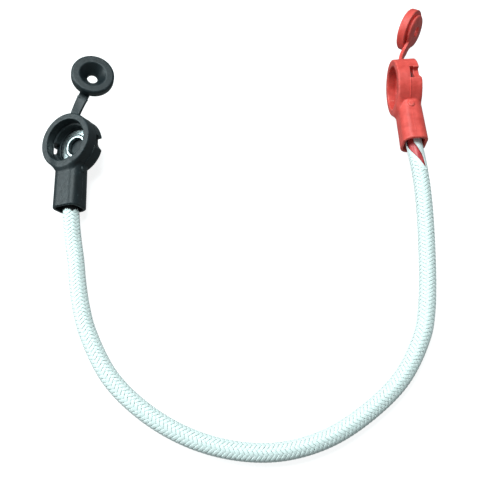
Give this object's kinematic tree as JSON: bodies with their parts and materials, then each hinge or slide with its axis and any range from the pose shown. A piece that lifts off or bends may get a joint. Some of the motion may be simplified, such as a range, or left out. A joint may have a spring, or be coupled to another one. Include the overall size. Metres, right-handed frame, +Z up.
{
  "type": "battery link lead",
  "caption": "Short braided battery link lead with a ring lug at each end inside a moulded rubber boot with a tethered plug cap.",
  "frame": {"origin": "on the surface that the lead lies on, under the middle of the two boots and their caps", "axes": "+Z up from the surface, +X from the black boot to the red one, +Y away from the cable's loop"},
  "size_m": [0.198, 0.231, 0.0287],
  "materials": {
    "black_rubber": "satin moulded rubber",
    "red_rubber": "satin moulded rubber",
    "tinned_copper": "bright tin plate",
    "copper": "bright stranded copper",
    "insulation": "semi-gloss PVC",
    "shrink_film": "satin heat-shrink film",
    "white_braid": "woven polyester sleeve"
  },
  "bodies": {
    "lead": {"black_boot": "black_rubber", "black_ring_lug": "tinned_copper", "black_crimp_shrink": "shrink_film", "red_boot": "red_rubber", "red_ring_lug": "tinned_copper", "red_crimp_shrink": "shrink_film", "conductor": "copper", "core_insulation": "insulation", "braided_sleeve": "white_braid"},
    "black_tether": {"black_strap": "black_rubber"},
    "black_plug": {"black_cap": "black_rubber"},
    "red_tether": {"red_strap": "red_rubber"},
    "red_plug": {"red_cap": "red_rubber"}
  },
  "joints": [
    {"name": "black_strap_bend", "type": "hinge", "parent": "lead", "child": "black_tether", "pos_m": [-0.08422, -0.00711, 0.01465], "axis": [0.8252, -0.4031, 0.3958], "range_deg": [-15, 91.6], "stiffness_Nm_per_rad": 0.01},
    {"name": "black_cap_fold", "type": "hinge", "parent": "black_tether", "child": "black_plug", "pos_m": [-0.08138, -0.00073, 0.01677], "axis": [0.8641, -0.467, -0.1879], "range_deg": [-18, 107.31], "stiffness_Nm_per_rad": 0.01},
    {"name": "red_strap_bend", "type": "hinge", "parent": "lead", "child": "red_tether", "pos_m": [0.08363, 0.02668, 0.01503], "axis": [0.0955, 0.1747, 0.98], "range_deg": [-15, 113], "stiffness_Nm_per_rad": 0.01},
    {"name": "red_cap_fold", "type": "hinge", "parent": "red_tether", "child": "red_plug", "pos_m": [0.08602, 0.03319, 0.01273], "axis": [-0.3891, 0.1948, 0.9004], "range_deg": [-15, 110.91], "stiffness_Nm_per_rad": 0.01}
  ],
  "couplings": [
    {"joint": "black_cap_fold", "follows": "black_strap_bend", "ratio": 1.1714},
    {"joint": "red_cap_fold", "follows": "red_strap_bend", "ratio": 0.98142}
  ]
}
